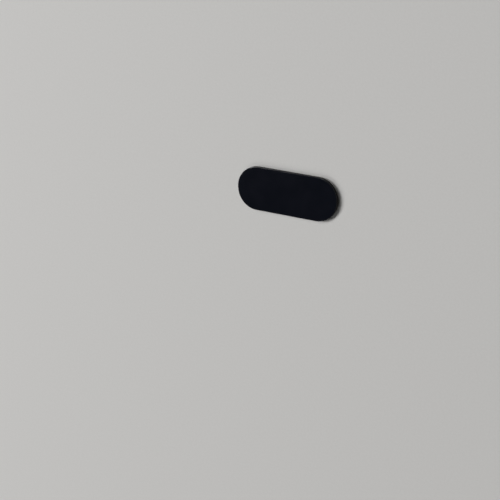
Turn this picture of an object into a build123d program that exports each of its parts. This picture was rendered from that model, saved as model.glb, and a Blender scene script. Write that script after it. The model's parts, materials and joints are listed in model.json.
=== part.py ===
from build123d import *
import os

# Sliding cover for a laptop's camera, shut.
# A plain moulded cover slides along a thin base plate. Its wall turns in to a lip, which runs under
# the base plate's flange and holds the cover on. A pad of tape sticks the base plate down.
# The origin is at the bottom centre of the outline, on the tape's underside. X runs along the cover,
# with the camera's window at the -X end, Y runs across it, and +Z points out of its face.
# The cover slides towards +X to open.

# Outline, in millimetres
cover_length = 23.0  # over both round ends
cover_width = 9.0

# Cover
skin_thickness = 0.31  # the plain face
wall_thickness = 0.45  # along the sides and round the closed end
lip_reach = 0.40  # inwards from the wall
lip_thickness = 0.18
peg_diameter = 1.4  # the stop peg under the face

# Base plate and tape
flange_thickness = 0.18
groove_depth = 0.16  # the stop peg's groove
window_width = 5.4
window_straight = 0.6  # between the centres of its round ends
tape_thickness = 0.15

# Clearances
running_clearance = 0.04  # above and below the flange, and under the peg
side_clearance = 0.08  # beside the flange, the foot and the peg, and at each stop
uncover_margin = 0.20  # between the window and the cover, when open
tape_setback = 0.15  # the tape's edges, behind the base plate's

# Edges
face_radius = 0.10  # round the face
underside_radius = 0.15  # round the outside, underneath
peg_chamfer = 0.04
window_chamfer = 0.10

# Heights, from the tape up. The lip is level with the base plate's underside
lip_top = tape_thickness + lip_thickness
flange_bottom = lip_top + running_clearance
flange_top = flange_bottom + flange_thickness
skin_bottom = flange_top + running_clearance
face_top = skin_bottom + skin_thickness
peg_bottom = flange_top - groove_depth + running_clearance

# Widths, from the outside in. The outlines are stadiums about the same two centres
straight_length = cover_length - cover_width
channel_width = cover_width - 2 * wall_thickness
flange_width = channel_width - 2 * side_clearance
lip_opening = channel_width - 2 * lip_reach
foot_width = lip_opening - 2 * side_clearance

# The base plate's nose fills the cover's open end, and the cover's wall shuts against it
nose_right = -straight_length / 2
wall_left = nose_right + side_clearance

# The window is concentric with the nose, and the cover slides until it is clear of it
window_x = nose_right + window_straight / 2
window_right = window_x + (window_straight + window_width) / 2
slide_travel = cover_length / 2 + window_right + uncover_margin

# The groove lies midway between the window and the flange's end
flange_right = (straight_length + flange_width) / 2
groove_x = (window_right + flange_right) / 2
groove_width = peg_diameter + 2 * side_clearance
peg_x = groove_x - slide_travel / 2


def plate_outline(width, setback=0):
    """Draw the nose and the stadium that runs on from it, in the sketch that is open."""
    SlotCenterToCenter(straight_length, cover_width - 2 * setback)
    with Locations((nose_right - setback, 0)):
        Rectangle(cover_length, cover_width, align=(Align.MIN, Align.CENTER), mode=Mode.SUBTRACT)
    SlotCenterToCenter(straight_length, width - 2 * setback)


# Sliding cover: a plain slab, hollowed from below and open at the window's end
with BuildPart() as sliding_cover:
    with BuildSketch(Plane.XY.offset(tape_thickness)):
        SlotCenterToCenter(straight_length, cover_width)
    extrude(amount=face_top - tape_thickness)
    fillet(sliding_cover.faces().sort_by(Axis.Z)[-1].edges(), radius=face_radius)
    fillet(sliding_cover.faces().sort_by(Axis.Z)[0].edges(), radius=underside_radius)
    with BuildSketch(Plane.XY.offset(tape_thickness)):
        SlotCenterToCenter(straight_length, lip_opening)
    extrude(amount=lip_thickness, mode=Mode.SUBTRACT)
    with BuildSketch(Plane.XY.offset(lip_top)):
        SlotCenterToCenter(straight_length, channel_width)
    extrude(amount=skin_bottom - lip_top, mode=Mode.SUBTRACT)
    with BuildSketch(Plane.XY.offset(tape_thickness)):
        with Locations((wall_left, 0)):
            Rectangle(cover_length, cover_width, align=(Align.MAX, Align.CENTER))
    extrude(amount=skin_bottom - tape_thickness, mode=Mode.SUBTRACT)
    with BuildSketch(Plane.XY.offset(skin_bottom)):
        with Locations((peg_x, 0)):
            Circle(peg_diameter / 2)
    extrude(amount=peg_bottom - skin_bottom)
    peg_end = sliding_cover.faces().filter_by_position(Axis.Z, peg_bottom, peg_bottom)
    chamfer(peg_end.edges(), length=peg_chamfer)
sliding_cover.part.label = "sliding_cover"

# Base plate: a foot between the lips, a flange over them, the nose, the window and the groove
with BuildPart() as base_plate:
    with BuildSketch(Plane.XY.offset(tape_thickness)):
        plate_outline(foot_width)
    extrude(amount=flange_bottom - tape_thickness)
    with BuildSketch(Plane.XY.offset(flange_bottom)):
        plate_outline(flange_width)
    extrude(amount=flange_thickness)
    nose_edge = base_plate.faces().sort_by(Axis.Z)[0].edges().sort_by(Axis.X)[0]
    fillet(nose_edge, radius=underside_radius)
    with BuildSketch(Plane.XY.offset(tape_thickness)):
        with Locations((window_x, 0)):
            SlotCenterToCenter(window_straight, window_width)
    extrude(amount=flange_top - tape_thickness, mode=Mode.SUBTRACT)
    window_edges = base_plate.faces().sort_by(Axis.Z)[-1].inner_wires()[0].edges()
    chamfer(window_edges, length=window_chamfer)
    with BuildSketch(Plane.XY.offset(flange_top)):
        with Locations((groove_x, 0)):
            SlotCenterToCenter(slide_travel, groove_width)
    extrude(amount=-groove_depth, mode=Mode.SUBTRACT)
base_plate.part.label = "base_plate"

# Tape pad: die-cut, set back from the base plate's outline and from the window
with BuildPart() as adhesive_pad:
    with BuildSketch():
        plate_outline(foot_width, tape_setback)
        with Locations((window_x, 0)):
            SlotCenterToCenter(
                window_straight, window_width + 2 * tape_setback, mode=Mode.SUBTRACT
            )
    extrude(amount=tape_thickness)
adhesive_pad.part.label = "adhesive_pad"

os.makedirs("parts", exist_ok=True)
export_step(sliding_cover.part, "parts/sliding_cover.step")
export_step(base_plate.part, "parts/base_plate.step")
export_step(adhesive_pad.part, "parts/adhesive_pad.step")
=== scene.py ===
# %% [markdown]
# # A sliding cover for a laptop's camera
#
# The object is a slim pill of gloss black plastic, 23 mm long and under a millimetre thick, which is
# stuck over a laptop's camera. A plain cover slides along a base plate that has a window in it, and a
# pad of tape holds the base plate down. The CAD model comes in as a fixed frame. This lesson models each
# piece again inside that frame with finer edges, because gloss black is seen mostly by what its edges
# reflect, and then gives each piece the finish of the real material.

# %% Load the frame
import json
import math

import bpy
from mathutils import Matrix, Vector


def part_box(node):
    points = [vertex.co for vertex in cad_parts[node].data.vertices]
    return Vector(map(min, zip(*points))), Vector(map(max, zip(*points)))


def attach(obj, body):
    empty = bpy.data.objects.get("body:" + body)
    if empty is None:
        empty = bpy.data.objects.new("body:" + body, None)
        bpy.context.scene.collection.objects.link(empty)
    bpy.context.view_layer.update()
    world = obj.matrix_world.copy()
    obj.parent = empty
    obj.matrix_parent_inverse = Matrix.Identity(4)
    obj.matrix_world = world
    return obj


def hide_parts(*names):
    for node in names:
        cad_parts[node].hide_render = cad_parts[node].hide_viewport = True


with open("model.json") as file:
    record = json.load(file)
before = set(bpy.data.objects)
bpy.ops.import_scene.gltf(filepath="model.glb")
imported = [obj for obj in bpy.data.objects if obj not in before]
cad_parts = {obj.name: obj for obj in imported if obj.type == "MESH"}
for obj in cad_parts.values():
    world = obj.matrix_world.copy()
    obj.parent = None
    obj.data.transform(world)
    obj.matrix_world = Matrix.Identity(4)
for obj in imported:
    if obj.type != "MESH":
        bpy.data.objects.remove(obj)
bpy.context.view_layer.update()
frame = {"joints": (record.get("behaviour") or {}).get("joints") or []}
scene = bpy.context.scene
scene.view_settings.view_transform = "Standard"

# %% [markdown]
# ## Camera
#
# The camera comes first, because everything that follows is seen through it. Its place was found by
# fitting the pill's outline to the outline in the picture: it looks down on the face from about 30 cm,
# from beyond the closed end and a little above the upper long side. A longish lens keeps the two ends
# nearly the same size.

# %% Place the camera
camera_place = (0.14281, 0.07587, 0.24632)  # metres
camera_turn = (-16.335, 32.017, 1.622)  # degrees about X, Y and Z
camera_lens = 105.44  # millimetres, on a sensor 36 mm wide
camera_near = 0.001  # metres

bpy.ops.object.select_all(action="DESELECT")
bpy.ops.object.camera_add(location=camera_place, rotation=[math.radians(turn) for turn in camera_turn])
camera = bpy.context.object
camera.data.lens = camera_lens
camera.data.clip_start = camera_near
scene.camera = camera
print(f"camera {Vector(camera_place).length * 100:.1f} cm from the part")

# %% [markdown]
# ## Sizes
#
# The outline, the heights and the travel are read from the frame, so they can't drift from the CAD model.
# What a box can't tell, such as a wall's thickness, is named here. All of it is in millimetres: the
# pieces are drawn a thousand times too large and brought down to metres when they are done, because
# Blender's tools lose precision on edges of a few hundredths of a millimetre.

# %% Read the sizes from the frame
MM = 1000.0  # millimetres in a metre
cover_low, cover_high = (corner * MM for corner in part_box("sliding_cover"))
plate_low, plate_high = (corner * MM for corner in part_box("base_plate"))
tape_low, tape_high = (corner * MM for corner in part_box("adhesive_pad"))
slide_travel = frame["joints"][0]["range_m"][1] * MM

cover_width = cover_high.y - cover_low.y
straight_length = cover_high.x - cover_low.x - cover_width
flange_width = 2 * plate_high.x - straight_length
print(f"outline {straight_length + cover_width:.2f} x {cover_width:.2f} mm, travel {slide_travel:.2f} mm")

# %% Name the sizes that the boxes don't give
wall_thickness = 0.45
lip_reach = 0.40
lip_thickness = 0.18
running_clearance = 0.04
window_width = 5.4
window_straight = 0.6
peg_diameter = 1.4
groove_depth = 0.16
tape_setback = 0.15

# Heights
lip_top = cover_low.z + lip_thickness
flange_bottom = lip_top + running_clearance
flange_top = plate_high.z
skin_bottom = flange_top + running_clearance
groove_floor = flange_top - groove_depth

# Widths
channel_width = cover_width - 2 * wall_thickness
side_clearance = (channel_width - flange_width) / 2
lip_opening = channel_width - 2 * lip_reach
foot_width = lip_opening - 2 * side_clearance
groove_width = peg_diameter + 2 * side_clearance

# Places along the pill
nose_right = -straight_length / 2
wall_left = nose_right + side_clearance
window_x = nose_right + window_straight / 2
window_right = window_x + (window_straight + window_width) / 2
groove_x = (window_right + plate_high.x) / 2
peg_x = groove_x - slide_travel / 2
print(f"clearances: {side_clearance:.2f} mm beside the flange, {running_clearance:.2f} mm above it")

# %% [markdown]
# ## Modelling tools
#
# Every outline of this object is a stadium, a rectangle with round ends. By hand it is made from a plane:
# its corners are bevelled until the rounds meet, and the face is pulled up to its height. The helpers
# below do that, choose edges and faces by their place, round edges off, and cut or join two solids. A
# Boolean modifier is used where one solid is cut by another, and it is applied at once.

# %% Helpers that choose and shape
ROUND_SEGMENTS = 32  # to each quarter of a round end
TOUCH = 0.0005  # millimetres, within which two places are the same
FLAT_STEPS, SMALL_STEPS, LARGE_STEPS, FACE_STEPS = 1, 3, 6, 8  # segments of a bevel, by its size


def stadium_slab(name, straight, width, bottom, top, middle=0.0):
    """Add a slab with round ends, from a plane with its corners bevelled off."""
    bpy.ops.object.select_all(action="DESELECT")
    bpy.ops.mesh.primitive_plane_add(size=1, location=(middle, 0, bottom))
    slab = bpy.context.object
    slab.name = name
    slab.data.name = name
    slab.scale = (straight + width, width, 1)
    bpy.ops.object.transform_apply(location=True, rotation=True, scale=True)
    bpy.ops.object.mode_set(mode="EDIT")
    bpy.ops.mesh.select_all(action="SELECT")
    bpy.ops.mesh.bevel(affect="VERTICES", offset=width / 2, segments=ROUND_SEGMENTS, profile=0.5)
    bpy.ops.mesh.select_all(action="SELECT")
    bpy.ops.mesh.remove_doubles(threshold=TOUCH)
    bpy.ops.mesh.extrude_region_move(TRANSFORM_OT_translate={"value": (0, 0, top - bottom)})
    bpy.ops.mesh.select_all(action="SELECT")
    bpy.ops.mesh.normals_make_consistent(inside=False)
    bpy.ops.object.mode_set(mode="OBJECT")
    return slab


def pick(piece, kind, test):
    """Select a piece's edges or faces that pass a test of their place, and stay in edit mode."""
    bpy.ops.object.select_all(action="DESELECT")
    piece.select_set(True)
    bpy.context.view_layer.objects.active = piece
    bpy.ops.object.mode_set(mode="EDIT")
    bpy.ops.mesh.select_mode(type=kind)
    bpy.ops.mesh.select_all(action="DESELECT")
    bpy.ops.object.mode_set(mode="OBJECT")
    places = piece.data.vertices
    found = piece.data.edges if kind == "EDGE" else piece.data.polygons
    for part in found:
        part.select = test([places[i].co for i in part.vertices])
    bpy.ops.object.mode_set(mode="EDIT")
    return sum(part.select for part in found)


def at_height(height):
    """Make a test that is true for what lies level at a height."""
    return lambda corners: all(abs(corner.z - height) < TOUCH for corner in corners)


def round_edges(piece, test, radius, segments):
    """Round off the edges that pass a test."""
    count = pick(piece, "EDGE", test)
    bpy.ops.mesh.bevel(affect="EDGES", offset=radius, segments=segments, profile=0.5)
    bpy.ops.object.mode_set(mode="OBJECT")
    print(f"{piece.name}: {count} edges rounded by {radius:.2f} mm")


def combine(piece, tool, operation):
    """Cut a piece with a tool, or join the two, and remove the tool."""
    boolean = piece.modifiers.new(operation.title(), "BOOLEAN")
    boolean.operation = operation
    boolean.solver = "EXACT"
    boolean.object = tool
    bpy.ops.object.select_all(action="DESELECT")
    bpy.context.view_layer.objects.active = piece
    bpy.ops.object.modifier_apply(modifier=boolean.name)
    bpy.data.objects.remove(tool)
    bpy.ops.object.mode_set(mode="EDIT")
    bpy.ops.mesh.select_all(action="SELECT")
    bpy.ops.mesh.remove_doubles(threshold=TOUCH)
    bpy.ops.object.mode_set(mode="OBJECT")


# %% Helper that finishes a piece
SMOOTH_ANGLE = 35.0  # degrees, past which an edge stays sharp


def finish_piece(piece):
    """Smooth a piece's rounds, keep its flats flat and bring it down to metres."""
    bpy.ops.object.select_all(action="DESELECT")
    piece.select_set(True)
    bpy.context.view_layer.objects.active = piece
    piece.scale = (1 / MM,) * 3
    bpy.ops.object.transform_apply(location=True, rotation=True, scale=True)
    bpy.ops.object.shade_smooth_by_angle(angle=math.radians(SMOOTH_ANGLE))
    weighted = piece.modifiers.new("Weighted normals", "WEIGHTED_NORMAL")
    weighted.keep_sharp = True
    bpy.ops.object.modifier_apply(modifier=weighted.name)
    size = piece.dimensions * MM
    print(f"{piece.name}: {len(piece.data.polygons)} faces, {size.x:.2f} x {size.y:.2f} x {size.z:.2f} mm")


# %% [markdown]
# ## The cover
#
# The cover is one thin moulding: a plain face, a wall along both long sides and round the closed end, and
# a lip that turns in under the base plate's flange. It could be built from flat panels, but a moulding has
# no joins, so it starts as one slab. The rim is rounded first. Then the underside is inset to the lip's
# opening and pushed up twice, and the upper ring of the pocket is pushed out to make the channel that the
# flange runs in.

# %% Shape the cover's outside
face_radius = 0.10
underside_radius = 0.15
face_border = 0.05

cover = stadium_slab("gloss_cover", straight_length, cover_width, cover_low.z, cover_high.z)
round_edges(cover, at_height(cover_high.z), face_radius, FACE_STEPS)
round_edges(cover, at_height(cover_low.z), underside_radius, LARGE_STEPS)
pick(cover, "FACE", at_height(cover_high.z))
bpy.ops.mesh.inset(thickness=face_border)
bpy.ops.object.mode_set(mode="OBJECT")

# %% Hollow the cover from below
pick(cover, "FACE", at_height(cover_low.z))
bpy.ops.mesh.inset(thickness=(cover_width - lip_opening) / 2 - underside_radius)
bpy.ops.mesh.extrude_region_move(TRANSFORM_OT_translate={"value": (0, 0, lip_thickness)})
bpy.ops.mesh.extrude_region_move(TRANSFORM_OT_translate={"value": (0, 0, skin_bottom - lip_top)})
bpy.ops.object.mode_set(mode="OBJECT")


def in_channel(corners):
    """Tell whether a face stands between the lip's top and the skin's underside."""
    heights = [corner.z for corner in corners]
    inside = max(abs(corner.y) for corner in corners) < channel_width / 2
    return inside and abs(min(heights) - lip_top) < TOUCH and abs(max(heights) - skin_bottom) < TOUCH


count = pick(cover, "FACE", in_channel)
bpy.ops.mesh.extrude_region_shrink_fatten(
    TRANSFORM_OT_shrink_fatten={"value": -lip_reach, "use_even_offset": True}
)
bpy.ops.object.mode_set(mode="OBJECT")
print(f"channel pushed out on {count} faces")

# %% [markdown]
# The wall stops where the base plate's nose begins, so that the nose can pass out of the channel when the
# cover slides. A box takes the wall off that end and leaves the face whole. A small peg under the face
# runs in the base plate's groove and stops the cover at both ends of its travel.

# %% Open the cover's end and add its stop peg
end_radius = 0.04
peg_chamfer = 0.04
peg_bottom = groove_floor + running_clearance
tool_margin = 1.0
rim_slack = 4 * TOUCH  # the round's flats lie a little inside it

bpy.ops.object.select_all(action="DESELECT")
bpy.ops.mesh.primitive_cube_add(size=1)
end_tool = bpy.context.object
end_tool.scale = (cover_width, cover_width + tool_margin, skin_bottom + tool_margin)
end_tool.location = (wall_left - cover_width / 2, 0, (skin_bottom - tool_margin) / 2)
bpy.ops.object.transform_apply(location=True, rotation=True, scale=True)
combine(cover, end_tool, "DIFFERENCE")

bpy.ops.mesh.primitive_cylinder_add(
    vertices=ROUND_SEGMENTS,
    radius=peg_diameter / 2,
    depth=skin_bottom - peg_bottom + running_clearance,
    location=(peg_x, 0, (skin_bottom + running_clearance + peg_bottom) / 2),
)
peg = bpy.context.object
bpy.ops.object.transform_apply(location=True, rotation=True, scale=True)
round_edges(peg, at_height(peg_bottom), peg_chamfer, FLAT_STEPS)
combine(cover, peg, "UNION")


def open_rim(corners):
    """Tell whether an edge runs round the open end, under the face."""
    outside = all(math.hypot(c.x - nose_right, c.y) > cover_width / 2 - rim_slack for c in corners)
    level = all(abs(c.z - skin_bottom) < TOUCH for c in corners)
    return outside and level and all(c.x < nose_right + TOUCH for c in corners)


round_edges(cover, open_rim, end_radius, SMALL_STEPS)
finish_piece(cover)
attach(cover, "cover")
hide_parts("sliding_cover")

# %% [markdown]
# ## The base plate
#
# The base plate is a thin moulding too. Its foot stands on the tape between the cover's lips, its flange
# reaches out over them, and its nose has the cover's full outline and fills the open end. The three are
# separate slabs that are joined, because each has its own height and outline. The window and the peg's
# groove are then cut, and the window's upper edge gets the small bevel that keeps it from shading the lens.

# %% Join the base plate's foot, flange and nose
nose_radius = 0.05
overlap = 0.05

plate = stadium_slab("base_plate_body", straight_length, cover_width, plate_low.z, plate_high.z)
round_edges(plate, at_height(plate_high.z), nose_radius, SMALL_STEPS)
round_edges(plate, at_height(plate_low.z), underside_radius, LARGE_STEPS)
bpy.ops.object.mode_set(mode="EDIT")
bpy.ops.mesh.select_all(action="SELECT")
bpy.ops.mesh.bisect(plane_co=(nose_right, 0, 0), plane_no=(1, 0, 0), clear_outer=True, use_fill=True)
bpy.ops.object.mode_set(mode="OBJECT")
foot = stadium_slab("foot", straight_length, foot_width, plate_low.z, flange_bottom + overlap)
flange = stadium_slab("flange", straight_length, flange_width, flange_bottom, plate_high.z)
combine(plate, flange, "UNION")
combine(plate, foot, "UNION")

# %% Cut the window and the groove
window_bevel = 0.10
window_steps = 2
window_tool = stadium_slab(
    "window", window_straight, window_width, plate_low.z - tool_margin, plate_high.z + tool_margin, window_x
)
combine(plate, window_tool, "DIFFERENCE")
groove_tool = stadium_slab(
    "groove", slide_travel, groove_width, groove_floor, plate_high.z + tool_margin, groove_x
)
combine(plate, groove_tool, "DIFFERENCE")


def window_rim(corners):
    """Tell whether an edge runs round the window, on the upper side."""
    near = all(abs(c.y) < window_width / 2 + TOUCH and c.x < window_right + TOUCH for c in corners)
    within = all(c.x > window_x - (window_straight + window_width) / 2 - TOUCH for c in corners)
    return near and within and all(abs(c.z - plate_high.z) < TOUCH for c in corners)


round_edges(plate, window_rim, window_bevel, window_steps)
finish_piece(plate)
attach(plate, "base")
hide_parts("base_plate")

# %% [markdown]
# ## The tape
#
# The pad is double-sided foam tape, die-cut to the base plate's outline and a little smaller, with a hole
# round the window. It is only 0.15 mm thick, but it lifts the whole pill off the surface, and the thin
# dark gap that this leaves is part of how the object looks.

# %% Cut the tape
nose_tape_right = nose_right - tape_setback

tape = stadium_slab("foam_tape", straight_length, cover_width - 2 * tape_setback, tape_low.z, tape_high.z)
bpy.ops.object.mode_set(mode="EDIT")
bpy.ops.mesh.select_all(action="SELECT")
bpy.ops.mesh.bisect(plane_co=(nose_tape_right, 0, 0), plane_no=(1, 0, 0), clear_outer=True, use_fill=True)
bpy.ops.object.mode_set(mode="OBJECT")
strip = stadium_slab("strip", straight_length, foot_width - 2 * tape_setback, tape_low.z, tape_high.z)
combine(tape, strip, "UNION")
tape_window = stadium_slab(
    "tape_window",
    window_straight,
    window_width + 2 * tape_setback,
    tape_low.z - tool_margin,
    tape_high.z + tool_margin,
    window_x,
)
combine(tape, tape_window, "DIFFERENCE")
finish_piece(tape)
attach(tape, "base")
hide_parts("adhesive_pad")

# %% [markdown]
# ## Finishes
#
# Colours are written as sRGB hex values, as a colour picker shows them, and one function turns them to the
# linear values that the shader works in. One more function adds a node with its settings and links.

# %% Helpers for the materials


def linear(code):
    """Turn an sRGB hex colour to linear values."""
    shares = [int(code[i:i + 2], 16) / 255 for i in (1, 3, 5)]
    return [s / 12.92 if s <= 0.04045 else ((s + 0.055) / 1.055) ** 2.4 for s in shares] + [1.0]


def add_node(tree, kind, inputs, **settings):
    """Add a node, set or link its inputs, and set its options."""
    made = tree.nodes.new(kind)
    for option, value in settings.items():
        setattr(made, option, value)
    for socket, value in inputs.items():
        if isinstance(value, bpy.types.NodeSocket):
            tree.links.new(value, made.inputs[socket])
        else:
            made.inputs[socket].default_value = value
    return made


# The Mix node keeps a set of sockets for each type, and these are the colour ones
MIX_A, MIX_B, MIX_RESULT = 6, 7, 2

# Indices of refraction
ABS_IOR, FOAM_IOR, CARD_IOR = 1.53, 1.45, 1.45


def plain_material(name, code, roughness, ior):
    """Make a material with its plain values set, and give its tree and shader."""
    made = bpy.data.materials.new(name)
    made.use_nodes = True
    shader = made.node_tree.nodes["Principled BSDF"]
    shader.inputs["Base Color"].default_value = linear(code)
    shader.inputs["Roughness"].default_value = roughness
    shader.inputs["IOR"].default_value = ior
    return made, made.node_tree, shader


# %% [markdown]
# ## Gloss black ABS
#
# The cover is injection-moulded from ABS in a polished mould. To the eye that is a near black with a cold
# tinge, under a clear, mirror-like skin. No mould is perfect: as the melt cools it leaves long, shallow
# waves, and a finer ripple called orange peel, a few tenths of a micrometre deep. They don't show as colour.
# They bend the edges of whatever the face reflects, and that is how the eye tells plastic from glass. So
# the colour stays almost even, and the waves go into the bump and, a little, into the roughness. Only the
# face's side of the mould is taken to be polished, and the walls to be satin, as they come from plain tool
# steel. That is a choice: satin darkens the upper edge a little, but gloss walls fit the photograph as well
# on the whole. The normal tells face from wall.

# %% Mix the gloss black ABS
flow_size = 3.0  # millimetres, the long waves
flow_depth = 0.003
peel_size = 0.30  # the orange peel
peel_depth = 0.0003
gloss_dark, gloss_light = "#070A11", "#090B14"
gloss_least, gloss_most = 0.09, 0.14  # roughness
side_roughness = 0.80
side_end, face_start = 0.35, 0.80  # how far a normal points up, where the satin ends and the gloss begins

gloss, gloss_tree, gloss_shader = plain_material("gloss_black_abs", gloss_dark, gloss_least, ABS_IOR)
spot = add_node(gloss_tree, "ShaderNodeTexCoord", {})
place = spot.outputs["Object"]
flow = add_node(
    gloss_tree, "ShaderNodeTexNoise", {"Vector": place, "Scale": MM / flow_size, "Detail": 1.0}
).outputs["Fac"]
peel = add_node(
    gloss_tree, "ShaderNodeTexNoise", {"Vector": place, "Scale": MM / peel_size, "Detail": 2.0}
).outputs["Fac"]
tone = add_node(
    gloss_tree,
    "ShaderNodeMix",
    {"Factor": flow, MIX_A: linear(gloss_dark), MIX_B: linear(gloss_light)},
    data_type="RGBA",
)
sheen = add_node(
    gloss_tree, "ShaderNodeMapRange", {"Value": flow, "To Min": gloss_least, "To Max": gloss_most}
)
upward = add_node(gloss_tree, "ShaderNodeSeparateXYZ", {"Vector": spot.outputs["Normal"]}).outputs["Z"]
satin_side = add_node(
    gloss_tree,
    "ShaderNodeMapRange",
    {"Value": upward, "From Min": side_end, "From Max": face_start, "To Min": side_roughness, "To Max": 0.0},
)
finish = add_node(
    gloss_tree,
    "ShaderNodeMath",
    {0: sheen.outputs["Result"], 1: satin_side.outputs["Result"]},
    operation="MAXIMUM",
)
waves = add_node(gloss_tree, "ShaderNodeBump", {"Height": flow, "Distance": flow_depth / MM})
skin = add_node(
    gloss_tree,
    "ShaderNodeBump",
    {"Height": peel, "Distance": peel_depth / MM, "Normal": waves.outputs["Normal"]},
)
gloss_tree.links.new(tone.outputs[MIX_RESULT], gloss_shader.inputs["Base Color"])
gloss_tree.links.new(finish.outputs["Value"], gloss_shader.inputs["Roughness"])
gloss_tree.links.new(skin.outputs["Normal"], gloss_shader.inputs["Normal"])
cover.data.materials.append(gloss)
print(f"{gloss.name}: waves of {flow_size} mm, orange peel of {peel_size} mm")

# %% [markdown]
# ## Satin black ABS
#
# The base plate is the same plastic, from a mould whose steel was left with the fine pitted skin of spark
# erosion, so that it slides easily and doesn't glare into the camera. Thousands of tiny pits spread the
# light into a soft grey sheen. The real pits are about 0.04 mm across, finer than a render shows, so they
# are drawn at more than twice that size.

# %% Mix the satin black ABS
pit_size = 0.10  # millimetres, drawn coarser than the real 0.04
pit_depth = 0.003
patch_size = 2.0  # where the mould is a little more worn
satin_dark, satin_light = "#0E0F12", "#17181B"
satin_least, satin_most = 0.38, 0.48

satin, satin_tree, satin_shader = plain_material("satin_black_abs", satin_dark, satin_least, ABS_IOR)
place = add_node(satin_tree, "ShaderNodeTexCoord", {}).outputs["Object"]
pits = add_node(
    satin_tree, "ShaderNodeTexNoise", {"Vector": place, "Scale": MM / pit_size, "Detail": 3.0}
).outputs["Fac"]
patch = add_node(
    satin_tree, "ShaderNodeTexNoise", {"Vector": place, "Scale": MM / patch_size, "Detail": 2.0}
).outputs["Fac"]
tone = add_node(
    satin_tree,
    "ShaderNodeMix",
    {"Factor": pits, MIX_A: linear(satin_dark), MIX_B: linear(satin_light)},
    data_type="RGBA",
)
sheen = add_node(
    satin_tree, "ShaderNodeMapRange", {"Value": patch, "To Min": satin_least, "To Max": satin_most}
)
skin = add_node(satin_tree, "ShaderNodeBump", {"Height": pits, "Distance": pit_depth / MM})
satin_tree.links.new(tone.outputs[MIX_RESULT], satin_shader.inputs["Base Color"])
satin_tree.links.new(sheen.outputs["Result"], satin_shader.inputs["Roughness"])
satin_tree.links.new(skin.outputs["Normal"], satin_shader.inputs["Normal"])
plate.data.materials.append(satin)
print(f"{satin.name}: pits of {pit_size} mm")

# %% [markdown]
# ## Black foam tape
#
# The tape is closed-cell foam with a tacky face. Its cut edge shows as a thin, dull line under the pill.
# Voronoi cells, again drawn coarser than the real ones, give its colour painted shade in each cell's hollow,
# where the cells swallow the light, and a painted highlight on the rims, which catch a little.

# %% Mix the black foam tape
cell_size = 0.12  # millimetres, drawn coarser than the real 0.05
cell_depth = 0.010
# The darker colour is the foam's black, which also serves as painted shade in the cell hollows; the lighter
# one is a painted highlight on the cell rims.
foam_dark, foam_painted_rim_highlight = "#121213", "#1D1D1E"
foam_least, foam_most = 0.78, 0.92

foam, foam_tree, foam_shader = plain_material("black_foam_tape", foam_dark, foam_most, FOAM_IOR)
place = add_node(foam_tree, "ShaderNodeTexCoord", {}).outputs["Object"]
cells = add_node(
    foam_tree, "ShaderNodeTexVoronoi", {"Vector": place, "Scale": MM / cell_size}
).outputs["Distance"]
# Painted shade in the cell hollows and a painted highlight towards the rims, following each cell's distance.
tone = add_node(
    foam_tree,
    "ShaderNodeMix",
    {"Factor": cells, MIX_A: linear(foam_dark), MIX_B: linear(foam_painted_rim_highlight)},
    data_type="RGBA",
)
tack = add_node(foam_tree, "ShaderNodeMapRange", {"Value": cells, "To Min": foam_most, "To Max": foam_least})
skin = add_node(foam_tree, "ShaderNodeBump", {"Height": cells, "Distance": cell_depth / MM})
foam_tree.links.new(tone.outputs[MIX_RESULT], foam_shader.inputs["Base Color"])
foam_tree.links.new(tack.outputs["Result"], foam_shader.inputs["Roughness"])
foam_tree.links.new(skin.outputs["Normal"], foam_shader.inputs["Normal"])
tape.data.materials.append(foam)
print(f"{foam.name}: cells of {cell_size} mm")

# %% [markdown]
# ## Floor
#
# The part lies on a sheet of pale grey card. It is large, so that its edge shows only in the lowest views,
# and its faint, even grain keeps it from looking like an empty background.

# %% Lay the floor
floor_size = 1.2  # metres
fibre_size = 0.45  # millimetres
card_dark, card_light = "#BDBCBA", "#C4C3C1"
card_roughness = 0.7

bpy.ops.object.select_all(action="DESELECT")
bpy.ops.mesh.primitive_plane_add(size=floor_size, location=(0, 0, 0))
floor = bpy.context.object
floor.name = "floor"
card, card_tree, card_shader = plain_material("pale_card", card_dark, card_roughness, CARD_IOR)
place = add_node(card_tree, "ShaderNodeTexCoord", {}).outputs["Object"]
fibres = add_node(
    card_tree, "ShaderNodeTexNoise", {"Vector": place, "Scale": MM / fibre_size, "Detail": 3.0}
).outputs["Fac"]
tone = add_node(
    card_tree,
    "ShaderNodeMix",
    {"Factor": fibres, MIX_A: linear(card_dark), MIX_B: linear(card_light)},
    data_type="RGBA",
)
card_tree.links.new(tone.outputs[MIX_RESULT], card_shader.inputs["Base Color"])
floor.data.materials.append(card)

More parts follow.
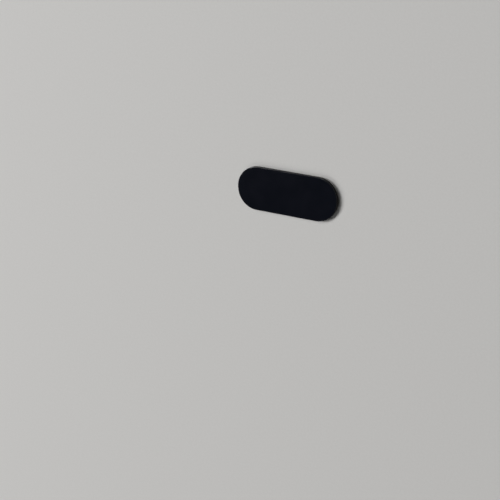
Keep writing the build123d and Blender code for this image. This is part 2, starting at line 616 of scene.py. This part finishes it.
# %% [markdown]
# ## Light
#
# In the photograph the shadow falls to the right, black where it touches the pill and soft within two
# millimetres, and the left end alone has a gleam. So most of the light is a broad softbox on the left. A
# narrow strip low on the same side draws a hair-thin gleam on that end, and two weak lamps behind and below
# keep the shadow from spreading. The face mirrors what lies up to the left and towards the reader, so no
# lamp hangs there and the face stays black. All of them are far off, so that the floor is lit evenly. The
# room fades from a pale horizon, close to the floor's own shade, to a dim ceiling.

# %% Shade the room
horizon_colour = "#C1C0BE"
horizon_strength = 1.00
ceiling_strength = 0.05
horizon_end = 0.20  # the height, as the sine of the angle, at which the ceiling begins

world = bpy.data.worlds.new("room")
scene.world = world
world.use_nodes = True
room_tree = world.node_tree
room_shader = room_tree.nodes["Background"]
aim = add_node(room_tree, "ShaderNodeTexCoord", {}).outputs["Generated"]
height = add_node(room_tree, "ShaderNodeSeparateXYZ", {"Vector": aim}).outputs["Z"]
fade = add_node(
    room_tree,
    "ShaderNodeMapRange",
    {"Value": height, "From Max": horizon_end, "To Min": horizon_strength, "To Max": ceiling_strength},
    interpolation_type="SMOOTHSTEP",
)
room_shader.inputs["Color"].default_value = linear(horizon_colour)
room_tree.links.new(fade.outputs["Result"], room_shader.inputs["Strength"])


# %% Hang the lamps
lamp_distance = 2.00  # metres


def softbox(name, azimuth, elevation, size, watts):
    """Hang a soft lamp, by its angles round from +X and up from the floor, and aim it at the part."""
    turn, rise = math.radians(azimuth), math.radians(elevation)
    flat = lamp_distance * math.cos(rise)
    spot = Vector((flat * math.cos(turn), flat * math.sin(turn), lamp_distance * math.sin(rise)))
    bpy.ops.object.select_all(action="DESELECT")
    bpy.ops.object.light_add(type="AREA", location=spot)
    lamp = bpy.context.object
    lamp.name = name
    lamp.data.shape = "RECTANGLE"
    lamp.data.size, lamp.data.size_y = size
    lamp.data.energy = watts
    lamp.rotation_euler = (-spot).to_track_quat("-Z", "Y").to_euler()
    print(f"{name}: {watts} W from {lamp_distance} m")


softbox("left_softbox", 171, 46, (0.85, 0.80), 32.5)
softbox("left_strip", 200, 31, (0.12, 0.30), 8.0)
softbox("back_softbox", 120, 52, (0.80, 0.65), 6.4)
softbox("lower_fill", 250, 38, (0.70, 0.50), 5.6)
